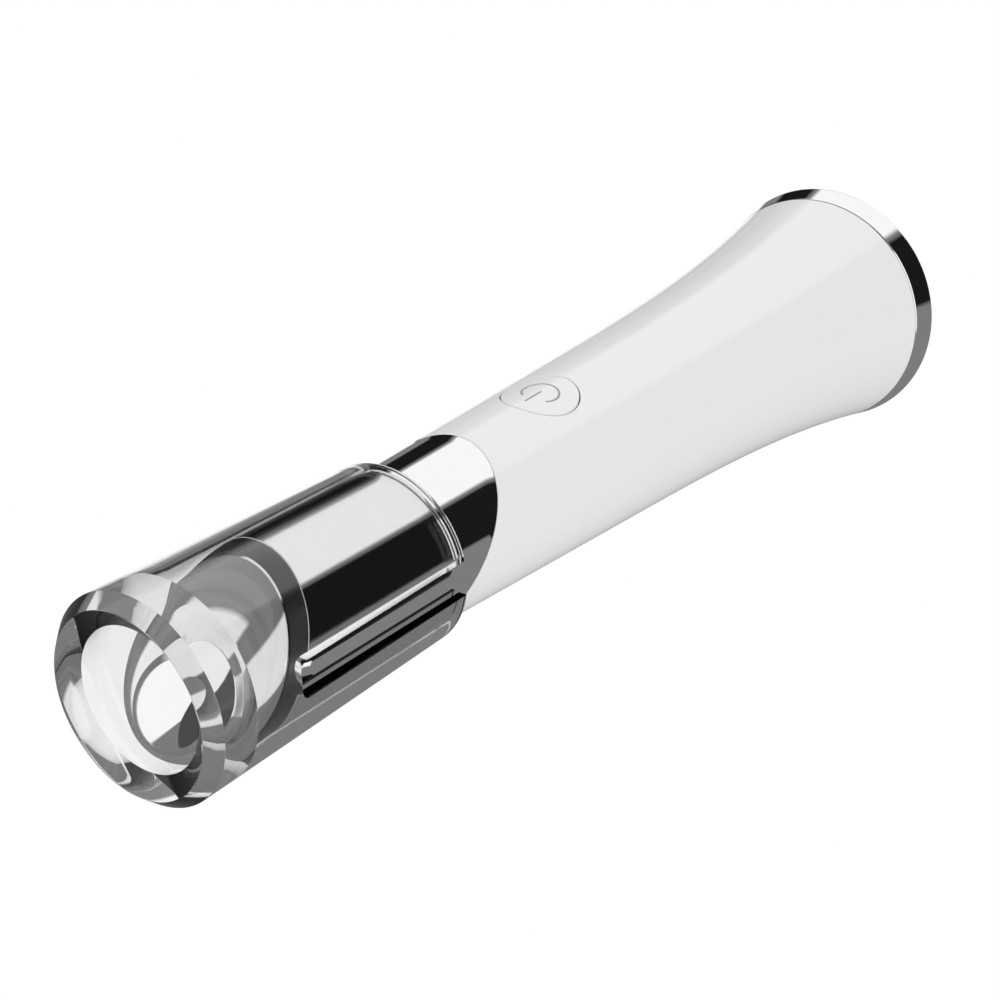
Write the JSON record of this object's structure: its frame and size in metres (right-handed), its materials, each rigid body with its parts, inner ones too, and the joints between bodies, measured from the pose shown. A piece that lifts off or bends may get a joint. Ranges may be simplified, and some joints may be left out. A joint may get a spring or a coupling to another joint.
{
  "type": "eye massager",
  "caption": "Slim wand with a heated, vibrating rounded metal head under a clear pull-off cap, a push button and a flared base it stands on.",
  "frame": {"origin": "centre of the flat base that the wand stands on", "axes": "+Z along the wand from base to massage head, -Y towards the side with the power button"},
  "size_m": [0.0348, 0.0348, 0.1416],
  "materials": {
    "white_gloss": "smooth gloss white moulding",
    "chrome_plate": "mirror-bright plating",
    "clear_plastic": "clear, polished, thick-walled",
    "dark_plastic": "smooth near-black moulding",
    "heater_film": "amber heating film on a thin plate",
    "grey_plastic": "fine matt grey moulding",
    "silicone": "soft matt silicone",
    "circuit_board": "green solder mask",
    "bright_steel": "plain bright steel",
    "brass_weight": "turned metal",
    "cell_wrap": "shrink wrap",
    "red_lead": "insulated lead",
    "black_lead": "insulated lead"
  },
  "bodies": {
    "handle": {"handle_shell": "white_gloss", "neck_sleeve": "chrome_plate", "head_ring": "dark_plastic", "massage_head": "chrome_plate", "heater_plate": "heater_film", "cap_key": "chrome_plate", "base_ring": "chrome_plate", "base_plate": "white_gloss", "charge_socket": "bright_steel", "socket_tongue": "dark_plastic", "charge_board": "circuit_board", "board_screw_left": "bright_steel", "board_screw_right": "bright_steel", "inner_frame": "grey_plastic", "battery_cell": "cell_wrap", "contact_low": "bright_steel", "contact_high": "bright_steel", "main_board": "circuit_board", "control_chip": "dark_plastic", "button_gasket": "silicone", "push_switch": "bright_steel", "motor_boot": "silicone", "motor_can": "bright_steel", "motor_lead_red": "red_lead", "motor_lead_black": "black_lead", "charge_lead_red": "red_lead", "charge_lead_black": "black_lead"},
    "cap": {"travel_cap": "clear_plastic"},
    "button": {"power_button": "white_gloss", "switch_plunger": "dark_plastic"},
    "rotor": {"motor_shaft": "bright_steel", "eccentric_weight": "brass_weight"}
  },
  "joints": [
    {"name": "cap_slide", "type": "slide", "parent": "handle", "child": "cap", "axis": [0, 0, 1], "range_m": [0, 0.042]},
    {"name": "button_press", "type": "slide", "parent": "handle", "child": "button", "axis": [0, 1, 0], "range_m": [0, 0.00035], "stiffness_N_per_m": 1500},
    {"name": "motor_spin", "type": "hinge", "parent": "handle", "child": "rotor", "pos_m": [0, 0, 0.118], "axis": [0, 0, 1], "continuous": true}
  ]
}
